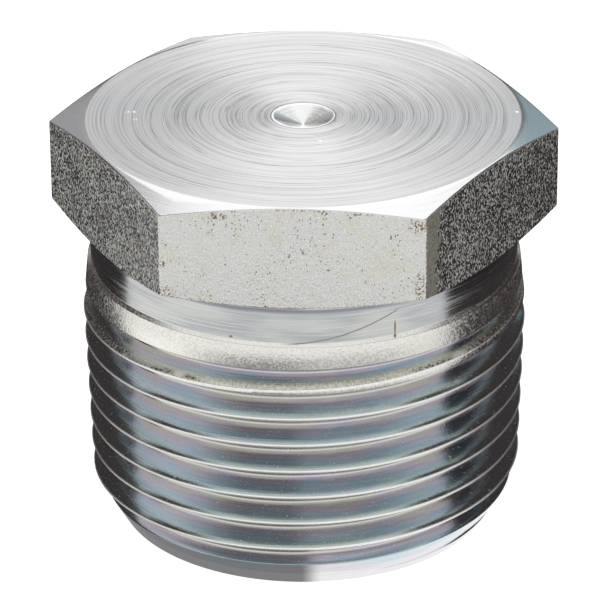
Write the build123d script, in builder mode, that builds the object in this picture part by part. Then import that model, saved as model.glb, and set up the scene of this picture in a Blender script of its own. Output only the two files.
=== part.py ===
from build123d import *
import math
import os

# Hexagon head pipe plug, one solid piece of steel, in millimetres.
# It stands on the end of its thread at Z = 0, with the head on top and the axis on Z.
# The head has a flat facing -Y and a corner on each side along X.

os.makedirs("parts", exist_ok=True)

INCH = 25.4

# Head
across_flats = 33.2
head_height = 8.1
corner_round = 0.3
top_face_inset = 0.25
top_chamfer_angle = 15.2
under_chamfer_angle = 19.4
centre_mark_diameter = 4.5
centre_mark_depth = 0.75

# Neck, a plain turned band between the head and the thread
neck_length = 2.9
ledge_width = 0.4

# Taper pipe thread of 60 degrees, 1 in 16 on the diameter
threads_per_inch = 11.5
thread_length = 20.9
end_crest_diameter = 32.7
taper_on_diameter = 1 / 16
thread_angle = 60

# The groove is at full depth up to the run-out, and there it rises out in one turn
run_out_length = 3.0
run_out_rise_in_depths = 0.85
groove_end_angle = 216

# Over this length the blank shrinks from the largest crest towards the neck
crest_fade_length = 4.2
neck_step = 0.26

# Lead chamfer at the thread end, down to about the bottom of the groove
lead_chamfer_depth = 1.9
lead_chamfer_angle = 30

# The blank stands this far outside the crests, where the flanks of the groove meet
crest_allowance = 0.35

# How far the cutters reach past the metal
past_corner = 1
past_blank = 0.25

# Sizes that follow from the ones above
pitch = INCH / threads_per_inch
half_pitch = pitch / 2
taper_on_radius = taper_on_diameter / 2
taper_angle = math.degrees(math.atan(taper_on_radius))
flank_slope = math.tan(math.radians(thread_angle / 2))
thread_depth = half_pitch / flank_slope
shoulder_height = thread_length + neck_length
total_height = shoulder_height + head_height
flat_distance = across_flats / 2
corner_radius = flat_distance / math.cos(math.radians(30))
neck_radius = flat_distance - ledge_width
end_crest_radius = end_crest_diameter / 2
largest_crest_height = thread_length - crest_fade_length
largest_crest_radius = end_crest_radius + largest_crest_height * taper_on_radius

# Outline of the blank: the lead chamfer, a cone outside the crests, and a cone that
# cuts the last crests lower and lower towards the neck
blank_radius_at_zero = end_crest_radius + crest_allowance
end_face_radius = end_crest_radius - lead_chamfer_depth
lead_slope = math.tan(math.radians(lead_chamfer_angle))
lead_height = (blank_radius_at_zero - end_face_radius) / (lead_slope - taper_on_radius)
lead_radius = end_face_radius + lead_height * lead_slope
step_radius = neck_radius + neck_step
step_height = thread_length - neck_step
fade_slope = (largest_crest_radius - step_radius) / (step_height - largest_crest_height)
fade_radius_at_zero = step_radius + step_height * fade_slope
fade_height = (fade_radius_at_zero - blank_radius_at_zero) / (fade_slope + taper_on_radius)
fade_radius = blank_radius_at_zero + fade_height * taper_on_radius

# The two corner chamfers are turned, so they are cones that run past the corners
past_corner_radius = corner_radius + past_corner
top_slope = math.tan(math.radians(top_chamfer_angle))
under_slope = math.tan(math.radians(under_chamfer_angle))
top_face_radius = flat_distance - top_face_inset
top_chamfer_drop = (past_corner_radius - top_face_radius) * top_slope
under_chamfer_rise = (past_corner_radius - neck_radius) * under_slope

# The cutter for the thread groove is a V, and its path starts below the end face
cutter_reach = thread_depth + crest_allowance + past_blank
full_depth_length = thread_length - run_out_length
half_turns = math.ceil(full_depth_length / half_pitch) + 1
root_radius_at_zero = end_crest_radius - thread_depth
run_out_rise = run_out_rise_in_depths * thread_depth
run_out_angle = math.degrees(math.atan(run_out_rise / pitch))


def root_radius(height):
    """Radius of the bottom of the groove at a height above the end face."""
    return root_radius_at_zero + height * taper_on_radius


def groove_path(height, turns, cone_angle, start_angle):
    """Some turns of the thread's helix on a cone, from a height and an angle there."""
    slant_pitch = pitch / math.cos(math.radians(cone_angle))
    helix = Helix(
        slant_pitch,
        turns * pitch,
        root_radius(height),
        center=(0, 0, height),
        cone_angle=cone_angle,
        mode=Mode.PRIVATE,
    )
    return helix.rotate(Axis.Z, start_angle)


# Path of the groove in half turns, and then a turn on a steeper cone that lifts it out
groove_paths = []
for left in range(half_turns, 0, -1):
    start_height = full_depth_length - left * half_pitch
    start_angle = groove_end_angle - left * 180
    groove_paths.append(groove_path(start_height, 1 / 2, taper_angle, start_angle))
groove_paths.append(groove_path(full_depth_length, 1, run_out_angle, groove_end_angle))

with BuildPart() as pipe_plug:
    # Hexagon with slightly rounded corners
    with BuildSketch(Plane.XY.offset(shoulder_height)):
        RegularPolygon(flat_distance, 6, major_radius=False)
    extrude(amount=head_height)
    fillet(pipe_plug.edges().filter_by(Axis.Z), corner_round)

    # Corner chamfers above and below, and the shallow cone left by the lathe's centre in
    # the top face, all turned as one outline
    with BuildSketch(Plane.XZ):
        with BuildLine():
            Polyline(
                (0, shoulder_height),
                (neck_radius, shoulder_height),
                (past_corner_radius, shoulder_height + under_chamfer_rise),
                (past_corner_radius, total_height - top_chamfer_drop),
                (top_face_radius, total_height),
                (centre_mark_diameter / 2, total_height),
                (0, total_height - centre_mark_depth),
                close=True,
            )
        make_face()
    revolve(axis=Axis.Z, mode=Mode.INTERSECT)

    # Neck and thread blank, reaching up inside the head
    with BuildSketch(Plane.XZ):
        with BuildLine():
            Polyline(
                (0, 0),
                (end_face_radius, 0),
                (lead_radius, lead_height),
                (fade_radius, fade_height),
                (step_radius, step_height),
                (neck_radius, thread_length),
                (neck_radius, shoulder_height + head_height / 2),
                (0, shoulder_height + head_height / 2),
                close=True,
            )
        make_face()
    revolve(axis=Axis.Z)

    # Thread groove. Each piece starts with the same V, on the plane where the last ended.
    along = groove_paths[0] % 0
    for path in groove_paths:
        start = path @ 0
        with BuildSketch(Plane(start, x_dir=(start.X, start.Y, 0), z_dir=along)):
            with BuildLine():
                Polyline(
                    (0, 0),
                    (cutter_reach, -cutter_reach * flank_slope),
                    (cutter_reach, cutter_reach * flank_slope),
                    close=True,
                )
            make_face()
        sweep(path=path, is_frenet=True, clean=False, mode=Mode.SUBTRACT)
        along = path % 1

pipe_plug.part.label = "pipe_plug"
export_step(pipe_plug.part, "parts/pipe_plug.step")
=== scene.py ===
import math

import bmesh
import bpy
import numpy as np
from mathutils import Matrix, Vector


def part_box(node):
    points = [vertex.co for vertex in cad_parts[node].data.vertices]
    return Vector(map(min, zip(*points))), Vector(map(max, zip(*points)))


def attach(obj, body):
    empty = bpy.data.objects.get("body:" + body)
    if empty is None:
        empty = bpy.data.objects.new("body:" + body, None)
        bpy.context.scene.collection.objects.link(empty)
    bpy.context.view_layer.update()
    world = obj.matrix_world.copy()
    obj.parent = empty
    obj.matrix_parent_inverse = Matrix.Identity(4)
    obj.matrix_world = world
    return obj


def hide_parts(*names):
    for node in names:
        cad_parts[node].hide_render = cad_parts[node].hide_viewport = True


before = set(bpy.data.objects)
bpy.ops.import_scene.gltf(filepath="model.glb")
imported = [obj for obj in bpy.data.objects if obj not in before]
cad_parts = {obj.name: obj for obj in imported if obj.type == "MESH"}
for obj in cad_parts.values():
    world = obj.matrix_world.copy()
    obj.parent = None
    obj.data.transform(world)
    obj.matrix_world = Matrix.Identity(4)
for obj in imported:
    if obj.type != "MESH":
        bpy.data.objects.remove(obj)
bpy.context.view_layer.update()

# Looks of a hexagon head pipe plug. The CAD solid stands on the end of its thread at
# Z = 0, with the axis on Z, a flat facing -Y and a corner on each side along X.
# One detailed mesh stands for the solid: the same form with rounded crests, roots and
# edges, and one material for each way that the real plug was cut. Lengths are in metres,
# and in millimetres where a material lays out its pattern.

_, node_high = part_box("pipe_plug")

MM = 0.001
INCH = 25.4 * MM

# Head. The height of the whole plug is the frame's.
total_height = node_high.z
flat_distance = 16.6 * MM
head_height = 8.1 * MM
shoulder_height = total_height - head_height
corner_round = 0.3 * MM
top_face_inset = 0.25 * MM
top_face_radius = flat_distance - top_face_inset
top_chamfer_angle = 15.2
top_slope = math.tan(math.radians(top_chamfer_angle))
under_chamfer_angle = 19.4
under_slope = math.tan(math.radians(under_chamfer_angle))
centre_mark_radius = 2.25 * MM
centre_mark_depth = 0.75 * MM
edge_break = 0.05 * MM

# Neck
neck_length = 2.9 * MM
ledge_width = 0.4 * MM
neck_radius = flat_distance - ledge_width
neck_fillet = 0.25 * MM
fillet_run = neck_fillet / math.tan(math.radians((90 + under_chamfer_angle) / 2))
neck_step = 0.26 * MM

# Taper pipe thread, with the narrow crest flats and round roots that the solid leaves off
threads_per_inch = 11.5
pitch = INCH / threads_per_inch
thread_length = shoulder_height - neck_length
taper = 1 / 32
end_crest_radius = 16.35 * MM
crest_flat = 0.12 * MM
crest_round = 0.11 * MM
root_round = 0.16 * MM
half_thread_angle = 30
flank_slope = math.tan(math.radians(half_thread_angle))
thread_depth = (pitch - crest_flat) / 2 / flank_slope
run_out_length = 3 * MM
full_depth_length = thread_length - run_out_length
run_out_rise = 0.85 * thread_depth
groove_end_turn = 216 / 360
crest_fade_length = 4.2 * MM
largest_crest_height = thread_length - crest_fade_length
largest_crest_radius = end_crest_radius + largest_crest_height * taper
lead_chamfer_depth = 1.9 * MM
end_face_radius = end_crest_radius - lead_chamfer_depth
lead_chamfer_angle = 30
lead_slope = math.tan(math.radians(lead_chamfer_angle))
lead_height = (end_crest_radius - end_face_radius) / (lead_slope - taper)
lead_radius = end_face_radius + lead_height * lead_slope

# Cone that cuts the last crests lower and lower, up to the small step below the neck
step_height = thread_length - neck_step
step_radius = neck_radius + neck_step
fade_slope = (largest_crest_radius - step_radius) / (step_height - largest_crest_height)
fade_at_zero = largest_crest_radius + largest_crest_height * fade_slope

# Mesh: its columns and rows, and the distance of the rows that hold an edge on both sides
columns_per_flat = 48
corner_column_angles = (0.15, 0.3, 0.5)
fillet_steps = 5
rows_on_flat = 31
rings_on_top = 16
hair = 0.035 * MM
sharp_edge_angle = 35
weld_distance = 1e-7

# Zones of the surface, in the order of the mesh's material slots
ZONES = ("end_face", "thread", "neck", "chamfer", "hexagon", "top_face", "centre_mark")


def add_object(name, data):
    """A new object in the scene that holds a mesh, a camera or a lamp."""
    made = bpy.data.objects.new(name, data)
    bpy.context.collection.objects.link(made)
    return made


def make_camera():
    """The photo's camera: its direction, distance, lens and the place that it aims at."""
    azimuth = math.radians(2.995)
    elevation = math.radians(26.17)
    roll = math.radians(-0.433)
    distance = 331.1 * MM
    aim_height = 31.15 * MM
    aside = -0.24 * MM
    above = -13.15 * MM
    data = bpy.data.cameras.new("photo_camera")
    data.sensor_width = 36
    data.lens = 265
    camera = add_object("photo_camera", data)
    back = Vector(
        (
            math.sin(azimuth) * math.cos(elevation),
            -math.cos(azimuth) * math.cos(elevation),
            math.sin(elevation),
        )
    )
    level_right = Vector((math.cos(azimuth), math.sin(azimuth), 0))
    level_up = back.cross(level_right)
    right = math.cos(roll) * level_right + math.sin(roll) * level_up
    up = math.cos(roll) * level_up - math.sin(roll) * level_right
    place = Vector((0, 0, aim_height)) + distance * back + aside * right + above * up
    turn = Matrix((right, up, back)).transposed().to_4x4()
    camera.matrix_world = Matrix.Translation(place) @ turn
    bpy.context.scene.camera = camera


def smooth_min(first, second, width):
    """The lower of two surfaces, with the edge between them rounded over a width."""
    blend = np.maximum(width - np.abs(first - second), 0) / width
    return np.minimum(first, second) - blend * blend * width / 4


def blank_radius(height):
    """Outline of the turned blank from the end face to the shoulder."""
    outline = (
        (0, end_face_radius),
        (lead_height, lead_radius),
        (largest_crest_height, largest_crest_radius),
        (step_height, step_radius),
        (thread_length, neck_radius),
        (shoulder_height, neck_radius),
    )
    heights, radii = zip(*outline)
    return np.interp(height, heights, radii)


def groove_bottom(centre):
    """Radius of the bottom of the groove whose centre line is at a height."""
    full = end_crest_radius - thread_depth + np.minimum(centre, full_depth_length) * taper
    return full + np.maximum(centre - full_depth_length, 0) * run_out_rise / pitch


def groove_centre(turn, number):
    """Height of the groove's centre line, for an angle in turns and the groove's number."""
    return full_depth_length + pitch * (turn - groove_end_turn + number)


def groove_edge(centre, side):
    """Distance along the axis from the groove's centre line to its edge on one side."""
    width = np.zeros_like(centre)
    rounds_to_settle = 30
    for _ in range(rounds_to_settle):
        depth = blank_radius(centre + side * width) - groove_bottom(centre)
        width = np.maximum(depth, 0) * flank_slope
    return width


def shank_radius(turn, height):
    """Radius of the blank with its thread groove."""
    blank = blank_radius(height)
    nearest = np.round((height - groove_centre(turn, 0)) / pitch)
    far_outside = 1.0
    groove = np.full(np.broadcast(turn, height).shape, far_outside)
    for step in (-1, 0, 1):
        centre = groove_centre(turn, nearest + step)
        off = np.abs(height - centre)
        arc = 2 * root_round - np.sqrt(np.maximum(root_round**2 - off * off, 0))
        in_arc = off < root_round * math.cos(math.radians(half_thread_angle))
        rise = np.where(in_arc, arc, off / flank_slope)
        groove = np.minimum(groove, groove_bottom(centre) + rise)
    radius = smooth_min(blank, groove, crest_round)
    return np.where(height < thread_length, radius, blank)


def column_angles():
    """Angles of the mesh's columns, closer together at the corners of the hexagon."""
    even = np.arange(6 * columns_per_flat) * (60 / columns_per_flat)
    offsets = np.array([side * a for a in corner_column_angles for side in (-1, 1)])
    corners = (np.arange(6)[:, None] * 60 + offsets[None, :]).ravel() % 360
    angles = np.unique(np.round(np.concatenate([even, corners]), 6))
    return np.radians(np.append(angles, 360))


def shank_rows(turn):
    """Heights of the mesh's rows: along each groove and its edges, and round the blank."""
    rows = []
    # Grooves from below the end face to past the neck, where they no longer cut
    first = -1 - math.ceil(full_depth_length / pitch)
    last = 3
    for number in range(first, last + 1):
        centre = groove_centre(turn, number)
        upper = groove_edge(centre, 1)
        lower = groove_edge(centre, -1)
        rows.append(centre)
        for near in (0.45 * root_round, 0.87 * root_round):
            rows.append(centre + np.minimum(near, upper))
            rows.append(centre - np.minimum(near, lower))
        for share in (0.35, 0.7):
            rows.append(centre + share * upper)
            rows.append(centre - share * lower)
        for off in (-hair, 0, hair):
            rows.append(centre + upper + off * (upper > 0))
            rows.append(centre - lower + off * (lower > 0))
    level = [0, edge_break, lead_height - hair, lead_height, lead_height + hair]
    level += [largest_crest_height, step_height - hair, step_height, step_height + hair]
    level += [thread_length - hair, thread_length, thread_length + hair]
    level += [thread_length + share * neck_length for share in (0.2, 0.4, 0.6, 0.8)]
    rows += [np.full_like(turn, height) for height in level]
    return np.sort(np.clip(np.array(rows), 0, shoulder_height - fillet_run), axis=0)


def hexagon_distance(angle):
    """Distance from the axis to the hexagon with rounded corners, at each angle."""
    from_corner = (angle + math.pi / 6) % (math.pi / 3) - math.pi / 6
    from_flat = math.pi / 6 - np.abs(from_corner)
    flat = flat_distance / np.cos(from_flat)
    centre = (flat_distance - corner_round) / math.cos(math.pi / 6)
    across = centre * np.sin(from_corner)
    arc = centre * np.cos(from_corner) + np.sqrt(np.maximum(corner_round**2 - across**2, 0))
    on_arc = np.abs(across) < corner_round * math.sin(math.pi / 6)
    return np.where(on_arc, arc, flat)


def under_height(radius):
    """Height of the cone under the head."""
    return shoulder_height + (radius - neck_radius) * under_slope


def top_height(radius):
    """Height of the chamfer cone on top of the head."""
    return total_height - (radius - top_face_radius) * top_slope


def head_rows(angle):
    """Rings of (radius, height, zone) from the neck's fillet to the middle of the top."""
    corner = hexagon_distance(angle)
    rings = []

    def ring(radius, height, zone):
        """Adds one ring, whose radius and height may change round the hexagon."""
        rings.append((radius + 0 * corner, height + 0 * corner, zone))

    fillet_base = shoulder_height - fillet_run
    for degrees in np.linspace(180, 90 + under_chamfer_angle, fillet_steps + 1)[1:]:
        turned = math.radians(degrees)
        radius = neck_radius + neck_fillet * (1 + math.cos(turned))
        ring(radius, fillet_base + neck_fillet * math.sin(turned), "chamfer")
    start = radius
    hold = 2 * edge_break
    under = corner - edge_break
    for share in (0.25, 0.5, 0.75, 1):
        outward = start + (under - hold - start) * share
        ring(outward, under_height(outward), "chamfer")
    low = under_height(corner)
    high = top_height(corner)
    ring(under, under_height(under), "chamfer")
    ring(corner - 0.3 * edge_break, low + 0.25 * edge_break, "hexagon")
    ring(corner, low + edge_break, "hexagon")
    for share in np.linspace(0, 1, rows_on_flat):
        height = low + hold + (high - low - 2 * hold) * share
        ring(corner, height, "hexagon")
    ring(corner, high - edge_break, "hexagon")
    ring(corner - 0.3 * edge_break, high - 0.2 * edge_break, "hexagon")
    top = corner - edge_break
    ring(top, top_height(top), "chamfer")
    for share in (0, 0.3, 0.6):
        inward = top - hold + (top_face_radius - top + hold) * share
        ring(inward, top_height(inward), "chamfer")
    ring(top_face_radius, total_height, "chamfer")
    rim = 0.12 * MM
    for radius in np.linspace(top_face_radius - rim, centre_mark_radius + rim, rings_on_top):
        ring(radius, total_height, "top_face")
    for share in (1, 0.94, 0.8, 0.6, 0.4, 0.2, 0.08, 0):
        radius = centre_mark_radius * share
        ring(radius, total_height - centre_mark_depth * (1 - share), "centre_mark")
    return rings


def plug_rings():
    """All rings of the mesh, from the middle of the end face to the middle of the top."""
    angle = column_angles()
    turn = angle / (2 * math.pi)
    rings = []
    for radius in (0, 0.4, 0.8, 0.97, 1):
        rings.append((radius * end_face_radius + 0 * angle, 0 * angle, "end_face"))
    for height in shank_rows(turn):
        in_thread = np.mean(height) < thread_length - neck_step / 2
        zone = "thread" if in_thread else "neck"
        rings.append((shank_radius(turn, height), height, zone))
    rings += head_rows(angle)
    return angle, rings


def build_mesh():
    """The plug's mesh, with each quad in the zone of the ring above it."""
    angle, rings = plug_rings()
    columns = len(angle)
    points = [
        np.stack([radius * np.cos(angle), radius * np.sin(angle), height], axis=1)
        for radius, height, _ in rings
    ]
    faces = []
    zones = []
    for row in range(len(rings) - 1):
        zone = ZONES.index(rings[row + 1][2])
        for column in range(columns - 1):
            corner = row * columns + column
            faces.append((corner, corner + 1, corner + columns + 1, corner + columns))
            zones.append(zone)
    mesh = bpy.data.meshes.new("pipe_plug_skin")
    mesh.from_pydata(np.concatenate(points).tolist(), [], faces)
    mesh.polygons.foreach_set("material_index", zones)
    weld = bmesh.new()
    weld.from_mesh(mesh)
    bmesh.ops.remove_doubles(weld, verts=weld.verts, dist=weld_distance)
    bmesh.ops.dissolve_degenerate(weld, dist=weld_distance, edges=weld.edges)
    bmesh.ops.recalc_face_normals(weld, faces=weld.faces)
    weld.to_mesh(mesh)
    weld.free()
    mesh.shade_smooth()
    mesh.set_sharp_from_angle(angle=math.radians(sharp_edge_angle))
    return mesh


class Graph:
    """The nodes of one material or world, with short calls that add and link them."""

    def __init__(self, tree):
        self.nodes = tree.nodes
        self.links = tree.links

    def fill(self, socket, value):
        """Links an output to a socket, or writes a number, vector or colour there."""
        if isinstance(value, bpy.types.NodeSocket):
            self.links.new(value, socket)
        elif isinstance(value, tuple) and socket.type == "RGBA":
            socket.default_value = (*value, 1)
        else:
            socket.default_value = value

    def place(self, kind):
        """A texture coordinate."""
        return self.nodes.new("ShaderNodeTexCoord").outputs[kind]

    def split(self, vector):
        """The three parts of a vector."""
        node = self.nodes.new("ShaderNodeSeparateXYZ")
        self.links.new(vector, node.inputs[0])
        return node.outputs

    def ray(self, kind):
        """1 for light paths of a kind and 0 for the rest."""
        return self.nodes.new("ShaderNodeLightPath").outputs[f"Is {kind} Ray"]

    def vector(self, operation, first, second=(0, 0, 0)):
        """Result of a vector operation, which is a number for a length."""
        node = self.nodes.new("ShaderNodeVectorMath")
        node.operation = operation
        self.fill(node.inputs[0], first)
        self.fill(node.inputs[1], second)
        return node.outputs["Value" if operation == "LENGTH" else "Vector"]

    def math(self, operation, first, second=0.0):
        """Result of an operation on one or two numbers."""
        node = self.nodes.new("ShaderNodeMath")
        node.operation = operation
        self.fill(node.inputs[0], first)
        self.fill(node.inputs[1], second)
        return node.outputs[0]

    def ramp(self, value, low, high, start=0.0, end=1.0):
        """Smooth step from start to end as a value goes from low to high."""
        node = self.nodes.new("ShaderNodeMapRange")
        node.interpolation_type = "SMOOTHSTEP"
        self.links.new(value, node.inputs["Value"])
        node.inputs["From Min"].default_value = low
        node.inputs["From Max"].default_value = high
        node.inputs["To Min"].default_value = start
        node.inputs["To Max"].default_value = end
        return node.outputs["Result"]

    def line(self, value, middle, half_width):
        """1 where a value is near the middle one, fading to 0 at the half width."""
        off = self.math("ABSOLUTE", self.math("SUBTRACT", value, middle))
        return self.ramp(off, half_width, 0.4 * half_width)

    def mix(self, factor, first, second):
        """Blend of two colours."""
        node = self.nodes.new("ShaderNodeMix")
        node.data_type = "RGBA"
        self.fill(node.inputs["Factor"], factor)
        self.fill(node.inputs["A"], first)
        self.fill(node.inputs["B"], second)
        return node.outputs["Result"]

    def blend(self, factor, first, second):
        """Blend of two numbers."""
        node = self.nodes.new("ShaderNodeMix")
        self.fill(node.inputs["Factor"], factor)
        self.fill(node.inputs["A"], first)
        self.fill(node.inputs["B"], second)
        return node.outputs["Result"]


class Steel(Graph):
    """One material of bare plated steel. Its patterns are laid out in millimetres."""

    def __init__(self, name, roughness):
        self.material = bpy.data.materials.new(name)
        self.material.use_nodes = True
        super().__init__(self.material.node_tree)
        self.shader = self.nodes["Principled BSDF"]
        self.shader.inputs["Metallic"].default_value = 1
        self.shader.inputs["Roughness"].default_value = roughness
        self.point = self.vector("MULTIPLY", self.place("Object"), (1 / MM, 1 / MM, 1 / MM))
        self.x, self.y, self.z = self.split(self.point)

    def radius(self):
        """Distance from the plug's axis."""
        return self.vector("LENGTH", self.vector("MULTIPLY", self.point, (1, 1, 0)))

    def around(self, turn_scale, along, along_scale):
        """Place for a pattern drawn out round the axis, which closes without a seam."""
        level = self.vector("MULTIPLY", self.point, (1, 1, 0))
        circle = self.vector("NORMALIZE", level)
        circle = self.vector("MULTIPLY", circle, (turn_scale, turn_scale, 0))
        joined = self.nodes.new("ShaderNodeCombineXYZ")
        self.links.new(self.math("MULTIPLY", along, along_scale), joined.inputs["Z"])
        return self.vector("ADD", circle, joined.outputs[0])

    def noise(self, place, scale, detail=2.0, roughness=0.5):
        """Smooth noise from 0 to 1."""
        node = self.nodes.new("ShaderNodeTexNoise")
        self.links.new(place, node.inputs["Vector"])
        node.inputs["Scale"].default_value = scale
        node.inputs["Detail"].default_value = detail
        node.inputs["Roughness"].default_value = roughness
        return node.outputs["Fac"]

    def spots(self, marks):
        """1 inside oval patches, each with a place and a size, and 0 outside, softly."""
        total = None
        for centre, size in marks:
            scaled = self.vector("DIVIDE", self.vector("SUBTRACT", self.point, centre), size)
            patch = self.ramp(self.vector("LENGTH", scaled), 1, 0.4)
            total = patch if total is None else self.math("MAXIMUM", total, patch)
        return total

    def bump(self, height, distance):
        """Small relief, by its height in millimetres at a pattern value of 1."""
        node = self.nodes.new("ShaderNodeBump")
        node.inputs["Distance"].default_value = distance * MM
        self.links.new(height, node.inputs["Height"])
        if self.shader.inputs["Normal"].is_linked:
            self.links.new(self.shader.inputs["Normal"].links[0].from_socket, node.inputs["Normal"])
        self.links.new(node.outputs["Normal"], self.shader.inputs["Normal"])

    def colour(self, value):
        """Sets the colour of the metal."""
        self.fill(self.shader.inputs["Base Color"], value)

    def rough(self, value):
        """Sets how dull the metal is."""
        self.fill(self.shader.inputs["Roughness"], value)

    def lathe_grain(self, amount):
        """Gloss drawn out across the circles that the lathe tool left."""
        self.shader.inputs["Anisotropic"].default_value = amount
        self.shader.inputs["Anisotropic Rotation"].default_value = 0.25
        tangent = self.nodes.new("ShaderNodeTangent")
        tangent.direction_type = "RADIAL"
        tangent.axis = "Z"
        self.links.new(tangent.outputs[0], self.shader.inputs["Tangent"])


def top_face_steel():
    """Face turned on the lathe: fine circles, sharper inside than at the rim."""
    steel = Steel("top_face", 0.4)
    radius = steel.radius()
    fine = steel.noise(steel.around(0.35, radius, 6), 1)
    coarse = steel.noise(steel.around(0.6, radius, 1.3), 1)
    hairs = steel.noise(steel.around(0.25, radius, 10), 1, 1)
    inside = steel.ramp(radius, 15.7, 15.3, 0.6, 1)
    face = steel.mix(coarse, (0.93, 0.93, 0.94), (0.98, 0.98, 0.97))
    hair = steel.math("MULTIPLY", steel.line(hairs, 0.5, 0.05), inside)
    face = steel.mix(hair, face, (0.7, 0.7, 0.71))
    bright = steel.math("MULTIPLY", steel.line(fine, 0.57, 0.03), inside)
    face = steel.mix(bright, face, (1, 1, 1))
    dull = steel.math("MULTIPLY", steel.line(fine, 0.46, 0.025), inside)
    face = steel.mix(dull, face, (0.5, 0.5, 0.51))
    mark_rim = steel.line(radius, centre_mark_radius / MM + 0.15, 0.11)
    face = steel.mix(mark_rim, face, (0.4, 0.4, 0.39))
    top = total_height / MM
    nicks = steel.spots((
        ((-13.2, 0.2, top), (0.25, 0.25, 1)),
        ((-12.7, 0.25, top), (0.2, 0.3, 1)),
        ((-12.5, -1.15, top), (0.22, 0.3, 1)),
        ((16, 1.2, top), (0.15, 0.2, 1)),
        ((1.5, -4.6, top), (0.15, 0.25, 1)),
    ))
    steel.colour(steel.mix(nicks, face, (1, 1, 1)))
    steel.rough(steel.blend(nicks, steel.ramp(coarse, 0.3, 0.7, 0.35, 0.39), 0.1))
    steel.bump(steel.math("MULTIPLY", fine, inside), 0.008)
    steel.lathe_grain(0.93)
    return steel.material


def centre_mark_steel():
    """Smooth cone of the centre mark."""
    steel = Steel("centre_mark", 0.25)
    rings = steel.noise(steel.around(2, steel.radius(), 5), 1, 2)
    steel.colour(steel.mix(rings, (0.97, 0.97, 0.95), (1, 1, 0.99)))
    steel.bump(rings, 0.006)
    return steel.material


def chamfer_steel():
    """Smooth turned cones above and below the hexagon."""
    steel = Steel("chamfer", 0.18)
    streaks = steel.noise(steel.around(2, steel.radius(), 5), 1, 3)
    steel.colour(steel.mix(streaks, (0.88, 0.89, 0.9), (0.98, 0.98, 0.98)))
    steel.bump(streaks, 0.002)
    return steel.material


def hexagon_steel():
    """Flats of the drawn bar: skin with dense rough scale, sparkles, pits and rust."""
    steel = Steel("hexagon", 0.25)
    rust_brown = (0.26, 0.18, 0.09)
    pit_brown = (0.2, 0.15, 0.09)
    drawn = steel.vector("MULTIPLY", steel.point, (1, 1, 0.6))
    grain = steel.noise(drawn, 7.5, 2, 0.6)
    broad = steel.noise(steel.point, 0.35, 2)
    scale = steel.ramp(steel.math("ADD", grain, steel.math("MULTIPLY", broad, 0.1)), 0.57, 0.62)
    crowding = steel.math("MULTIPLY", steel.noise(steel.point, 0.3, 1), 0.25)
    pits = steel.math("ADD", steel.noise(steel.point, 6, 2), crowding)
    pits = steel.ramp(pits, 0.815, 0.855)
    skin = steel.mix(scale, (0.69, 0.69, 0.67), (0.85, 0.85, 0.82))
    olive = steel.ramp(steel.noise(steel.point, 0.7, 4), 0.5, 0.66, 0, 0.5)
    skin = steel.mix(olive, skin, (0.72, 0.7, 0.58))
    sparkles = steel.ramp(steel.noise(drawn, 10, 1), 0.62, 0.7)
    skin = steel.mix(sparkles, skin, (1, 1, 0.98))
    front = -flat_distance / MM
    stains = steel.spots((
        ((9, front, 30.6), (0.9, 2, 0.7)),
        ((9.2, front, 25.9), (0.5, 2, 1.5)),
        ((-9.3, front, 25), (0.9, 2, 0.8)),
        ((-9.4, front, 27.4), (0.3, 2, 0.4)),
        ((-5.4, front, 31.2), (0.9, 2, 0.45)),
        ((0.5, front, 31.8), (3, 2, 0.12)),
        ((5.4, front, 31.6), (1.6, 2, 0.2)),
    ))
    specks = steel.ramp(steel.noise(steel.point, 5, 2), 0.5, 0.56)
    rust = steel.math("MULTIPLY", stains, specks)
    # Dull ragged strip on the right flat, beside the corner at the front
    ragged = steel.math("MULTIPLY", steel.noise(steel.point, 1.5, 3), 2.6)
    strip = steel.ramp(steel.math("ADD", steel.y, ragged), -13.6, -14)
    strip = steel.math("MULTIPLY", strip, steel.ramp(steel.x, 9.62, 9.72, 0, 0.8))
    face = steel.mix(strip, skin, steel.mix(specks, (0.52, 0.5, 0.42), (0.32, 0.28, 0.19)))
    face = steel.mix(rust, face, rust_brown)
    steel.colour(steel.mix(pits, face, pit_brown))
    steel.rough(steel.blend(strip, steel.blend(scale, 0.15, 0.68), 0.62))
    steel.bump(grain, 0.04)
    steel.bump(pits, -0.05)
    return steel.material


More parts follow.
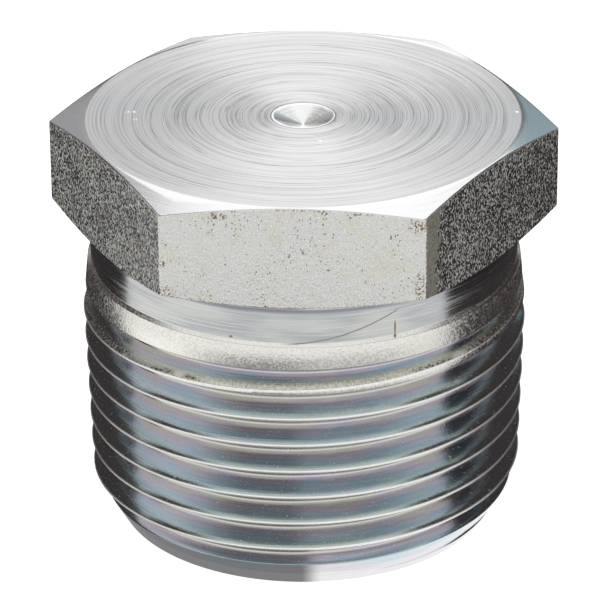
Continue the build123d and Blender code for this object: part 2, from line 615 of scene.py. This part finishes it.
def neck_steel():
    """Plain turned band with fine level streaks, one scratch, a dried brown run and painted shade
    under the head.
    """
    steel = Steel("neck", 0.18)
    streaks = steel.noise(steel.around(2.5, steel.z, 8), 1, 3, 0.6)
    broad = steel.noise(steel.around(3, steel.z, 0.7), 1, 2)
    tone = steel.mix(steel.ramp(broad, 0.35, 0.65), (0.5, 0.52, 0.54), (0.66, 0.67, 0.65))
    face = steel.mix(steel.ramp(streaks, 0.48, 0.66), tone, (0.76, 0.77, 0.76))
    shoulder = shoulder_height / MM
    # Painted shade: the top of the neck is drawn darker where it stands under the head
    painted_shade_under_head = steel.ramp(steel.z, shoulder - 0.6, shoulder - 0.35)
    face = steel.mix(painted_shade_under_head, face, (0.36, 0.36, 0.4))
    foot = thread_length / MM
    step = steel.ramp(steel.z, foot + 0.12, foot)
    face = steel.mix(step, face, (0.86, 0.85, 0.8))
    # Darker line drawn along the edge where the fade cone meets the step
    groove = steel.line(steel.z, step_height / MM, 0.07)
    face = steel.mix(groove, face, (0.3, 0.28, 0.2))
    # Scratch that climbs to the right in a curve
    aside = steel.math("ADD", steel.x, 1.2)
    climb = steel.math("MULTIPLY", steel.math("MULTIPLY", aside, aside), 0.027)
    reach = steel.math("MULTIPLY", steel.ramp(steel.x, -1, 0.5), steel.ramp(steel.x, 7.7, 7.3))
    reach = steel.math("MULTIPLY", reach, steel.ramp(steel.y, -10, -11))
    scratch = steel.line(steel.math("SUBTRACT", steel.z, climb), 20.85, 0.08)
    scratch = steel.math("MULTIPLY", scratch, reach)
    face = steel.mix(scratch, face, (0.34, 0.32, 0.28))
    run = steel.spots((
        ((7.34, -14.44, 21.5), (0.09, 0.5, 0.8)),
        ((7.34, -14.44, 20.85), (0.14, 0.5, 0.2)),
        ((-4.6, -15.5, 21.1), (0.2, 0.5, 0.12)),
    ))
    steel.colour(steel.mix(run, face, (0.28, 0.2, 0.1)))
    grit = steel.ramp(steel.noise(steel.point, 5, 2, 0.7), 0.48, 0.6, 0.22, 0.4)
    steel.rough(steel.blend(step, steel.ramp(streaks, 0.4, 0.7, 0.14, 0.3), grit))
    steel.bump(streaks, 0.008)
    return steel.material


def thread_steel():
    """Cut flanks with tool marks along the groove and the film of the zinc plate."""
    steel = Steel("thread", 0.16)
    pale_cream = (1, 0.98, 0.94)
    radius = steel.radius()
    crest = steel.math("ADD", steel.math("MULTIPLY", steel.z, taper), end_crest_radius / MM)
    below = steel.math("SUBTRACT", crest, radius)
    streaks = steel.noise(steel.around(4, below, 8), 1, 3, 0.7)
    turns = steel.vector("MULTIPLY", steel.point, (0.1, 0.1, 0.3))
    drift = steel.noise(steel.vector("ADD", steel.around(1.5, below, 0.5), turns), 1.2, 2)
    film = steel.math("ADD", below, steel.math("MULTIPLY", drift, 1.6))
    hue = steel.mix(steel.ramp(film, 0.95, 1.4), (0.52, 0.62, 0.6), (0.5, 0.59, 0.65))
    hue = steel.mix(steel.ramp(film, 1.65, 1.95), hue, (0.6, 0.56, 0.62))
    hue = steel.mix(steel.ramp(film, 2.1, 2.35), hue, (0.62, 0.61, 0.55))
    marks = steel.ramp(streaks, 0.42, 0.7, 0, 0.7)
    face = steel.mix(marks, hue, (0.68, 0.69, 0.69))
    dots = steel.ramp(steel.noise(steel.point, 6, 3, 0.6), 0.65, 0.72)
    face = steel.mix(dots, face, (0.95, 0.95, 0.93))
    # Olive flanks and a bare cream blank where the thread runs out
    gap = steel.math("SUBTRACT", fade_at_zero / MM, steel.math("MULTIPLY", steel.z, fade_slope))
    gap = steel.math("SUBTRACT", gap, radius)
    fade_start = largest_crest_height / MM
    fading = steel.ramp(steel.z, fade_start, fade_start + 0.6)
    olive = steel.math("MULTIPLY", steel.ramp(gap, 0.7, 0.3, 0, 0.8), fading)
    face = steel.mix(olive, face, (0.6, 0.58, 0.46))
    bare = steel.math("MULTIPLY", steel.ramp(gap, 0.06, 0.03), fading)
    # Pale crests, with flakes and scuffs on the first ones below the neck
    nicks = steel.spots((
        ((-8.75, -14.4, 17.3), (0.9, 0.9, 0.3)),
        ((-12.95, -10.78, 16.8), (0.6, 0.6, 0.4)),
        ((12.2, -11.6, 17.8), (1.3, 1.3, 0.5)),
        ((12.15, -11.6, 15.6), (0.8, 0.8, 0.25)),
        ((10.2, -13.4, 15.1), (0.5, 0.5, 0.2)),
    ))
    flakes = steel.math("MULTIPLY", nicks, steel.ramp(below, 0.7, 0.5))
    crests = steel.ramp(below, 0.11, 0.06)
    near_top = steel.math("MULTIPLY", steel.ramp(steel.z, 15.8, 16.8), steel.ramp(below, 0.85, 0.4))
    grit = steel.noise(steel.point, 5, 2, 0.7)
    scuffs = steel.math("MULTIPLY", near_top, steel.ramp(grit, 0.42, 0.6, 0, 0.7))
    pale = steel.math("MAXIMUM", steel.math("MAXIMUM", crests, scuffs), flakes)
    cream = steel.mix(steel.ramp(grit, 0.4, 0.6), (0.82, 0.8, 0.74), pale_cream)
    lead = steel.ramp(steel.z, 1.3, 0.8, 0, 0.8)
    face = steel.mix(lead, face, (0.74, 0.74, 0.77))
    face = steel.mix(pale, face, pale_cream)
    steel.colour(steel.mix(bare, face, cream))
    dull = steel.blend(pale, steel.ramp(dots, 0, 1, 0.15, 0.6), 0.45)
    steel.rough(steel.blend(bare, dull, steel.ramp(grit, 0.48, 0.6, 0.22, 0.4)))
    steel.bump(streaks, 0.006)
    steel.bump(steel.ramp(below, 1.48, 1.8), 0.075)
    steel.bump(steel.math("MULTIPLY", grit, bare), 0.025)
    return steel.material


def end_face_steel():
    """Underside, faced on the lathe like the top."""
    steel = Steel("end_face", 0.3)
    lines = steel.noise(steel.around(1, steel.radius(), 6), 1, 3, 0.6)
    steel.colour(steel.mix(lines, (0.5, 0.51, 0.52), (0.85, 0.85, 0.85)))
    steel.bump(lines, 0.006)
    steel.lathe_grain(0.6)
    return steel.material


def make_plug():
    """The piece that stands for the solid, with a material in each slot."""
    mesh = build_mesh()
    plug = add_object("pipe_plug_skin", mesh)
    zone_steels = {
        "end_face": end_face_steel,
        "thread": thread_steel,
        "neck": neck_steel,
        "chamfer": chamfer_steel,
        "hexagon": hexagon_steel,
        "top_face": top_face_steel,
        "centre_mark": centre_mark_steel,
    }
    for zone in ZONES:
        mesh.materials.append(zone_steels[zone]())
    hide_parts("pipe_plug")
    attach(plug, "root")


def plain_sheet(name, corners):
    """A flat sheet through its corners."""
    mesh = bpy.data.meshes.new(name)
    mesh.from_pydata(corners, [], [tuple(range(len(corners)))])
    return add_object(name, mesh)


def glow_material(name, colour, strength):
    """A material that only gives off light."""
    material = bpy.data.materials.new(name)
    material.use_nodes = True
    nodes = material.node_tree.nodes
    nodes.clear()
    glow = nodes.new("ShaderNodeEmission")
    glow.inputs["Color"].default_value = (*colour, 1)
    glow.inputs["Strength"].default_value = strength
    output = nodes.new("ShaderNodeOutputMaterial")
    material.node_tree.links.new(glow.outputs[0], output.inputs[0])
    return material


def reflected_only(sheet, material):
    """A studio card that shows in the metal, and neither in the picture nor on the floor."""
    sheet.data.materials.append(material)
    sheet.visible_camera = False
    sheet.visible_diffuse = False
    sheet.visible_shadow = False


def direction(from_back, elevation):
    """Unit vector, by degrees to the right of straight behind the plug and degrees up."""
    aside = math.radians(from_back)
    rise = math.radians(elevation)
    level = math.cos(rise)
    return Vector((math.sin(aside) * level, math.cos(aside) * level, math.sin(rise)))


def make_softbox(name, azimuths, elevations, colour, strength):
    """A curved card between two azimuths and two elevations, seen from the plug."""
    distance = 700 * MM
    steps = 8
    points = [
        distance * direction(azimuth, elevation)
        for elevation in np.linspace(*elevations, steps + 1)
        for azimuth in np.linspace(*azimuths, steps + 1)
    ]
    faces = []
    for row in range(steps):
        for column in range(steps):
            first = row * (steps + 1) + column
            faces.append((first, first + 1, first + steps + 2, first + steps + 1))
    mesh = bpy.data.meshes.new(name)
    mesh.from_pydata(points, [], faces)
    reflected_only(add_object(name, mesh), glow_material(name, colour, strength))


def make_cards():
    """Softboxes behind and beside the plug, and a dark card on the floor behind it."""
    white = (1, 1, 1)
    cool = (0.8, 0.86, 0.9)
    make_softbox("back_softbox", (-24, 22), (34, 66), white, 1.1)
    make_softbox("low_back_softbox", (-7, 5.5), (2, 34), white, 1.2)
    make_softbox("low_left_softbox", (-28, -10), (12, 34), (0.98, 0.98, 1), 0.33)
    make_softbox("low_right_softbox", (10, 28), (12, 34), (0.74, 0.96, 1.07), 0.35)
    make_softbox("left_softbox", (-66, -42), (41, 78), cool, 0.75)
    make_softbox("right_softbox", (47, 66), (50, 72), cool, 0.7)
    # Outline of the dark card, with a notch beside the plug where the pale floor shows
    left_edge = ((-250, 60), (-56, 3.5), (-15, -4))
    notch = ((12, -6.7), (13, 1), (18, 1), (19, -7.5))
    right_edge = ((34, -9.5), (56, -16.7), (250, -32))
    back_corners = ((250, 250), (-250, 250))
    outline = left_edge + notch + right_edge + back_corners
    lift = 0.2 * MM
    card = plain_sheet("dark_card", [(x * MM, y * MM, lift) for x, y in outline])
    reflected_only(card, glow_material("dark_card", (1.15, 1, 1.02), 0.034))


def make_floor():
    """A pale floor with the plug's soft shadow, which the metal sees as light and dark bands."""
    reach = 3
    floor_height = -0.02 * MM
    outline = ((-reach, -reach), (reach, -reach), (reach, reach), (-reach, reach))
    floor = plain_sheet("floor", [(x, y, floor_height) for x, y in outline])
    material = bpy.data.materials.new("floor")
    material.use_nodes = True
    graph = Graph(material.node_tree)
    place = graph.place("Object")
    x, y, _ = graph.split(place)
    angle = graph.math("ARCTAN2", x, graph.math("MULTIPLY", y, -1))
    away = graph.vector("LENGTH", place)

    def turned(start, end, low, high):
        """Step from low to high between two angles, in degrees right of straight in front."""
        return graph.ramp(angle, math.radians(start), math.radians(end), low, high)

    # What the metal sees of the floor: under the plug, close round it, and further away
    beneath = turned(1, 8, 0.28, 1.15)
    near = graph.math("ADD", turned(-22, -62, 0, 0.75), turned(-6, 6, 0, 0.22))
    near = graph.math("ADD", near, turned(30, 60, 0.28, 0.58))
    far = 0.86
    glow = graph.blend(graph.ramp(away, 20 * MM, 25 * MM), beneath, near)
    glow = graph.blend(graph.ramp(away, 44 * MM, 56 * MM), glow, far)
    mirrored = graph.math("MULTIPLY", graph.ray("Glossy"), glow)
    shown = graph.math("MULTIPLY", graph.ray("Camera"), 0.65)
    shader = graph.nodes["Principled BSDF"]
    shader.inputs["Roughness"].default_value = 0.9
    shader.inputs["Emission Color"].default_value = (1, 1, 1, 1)
    pale = graph.mix(graph.ray("Glossy"), (0.9, 0.9, 0.9), (0, 0, 0))
    graph.fill(shader.inputs["Base Color"], pale)
    graph.fill(shader.inputs["Emission Strength"], graph.math("ADD", mirrored, shown))
    floor.data.materials.append(material)


def make_world():
    """White where the camera sees it, and for the metal a light front and a dark rest."""
    world = bpy.data.worlds.new("studio")
    bpy.context.scene.world = world
    world.use_nodes = True
    graph = Graph(world.node_tree)
    _, y, z = graph.split(graph.place("Generated"))
    front = graph.ramp(y, 0.1, -0.1)
    overhead = graph.ramp(z, 0.9, 0.95)
    walls = graph.mix(front, (0.058, 0.046, 0.045), (0.95, 0.96, 0.97))
    studio = graph.mix(overhead, walls, (0.75, 0.75, 0.75))
    room = graph.mix(graph.ray("Glossy"), (0.6, 0.6, 0.6), studio)
    shown = graph.mix(graph.ray("Camera"), room, (1, 1, 1))
    graph.fill(graph.nodes["Background"].inputs["Color"], shown)


def make_lamp():
    """A large soft lamp overhead, which leaves a faint shadow round the plug."""
    data = bpy.data.lights.new("key_lamp", "AREA")
    data.size = 1
    data.energy = 6
    lamp = add_object("key_lamp", data)
    lamp.location = (-0.3, -0.3, 1.2)
    lamp.rotation_euler = (-lamp.location).to_track_quat("-Z", "Y").to_euler()
    lamp.visible_glossy = False


make_camera()
make_plug()
make_floor()
make_cards()
make_world()
make_lamp()
bpy.context.scene.view_settings.view_transform = "Standard"
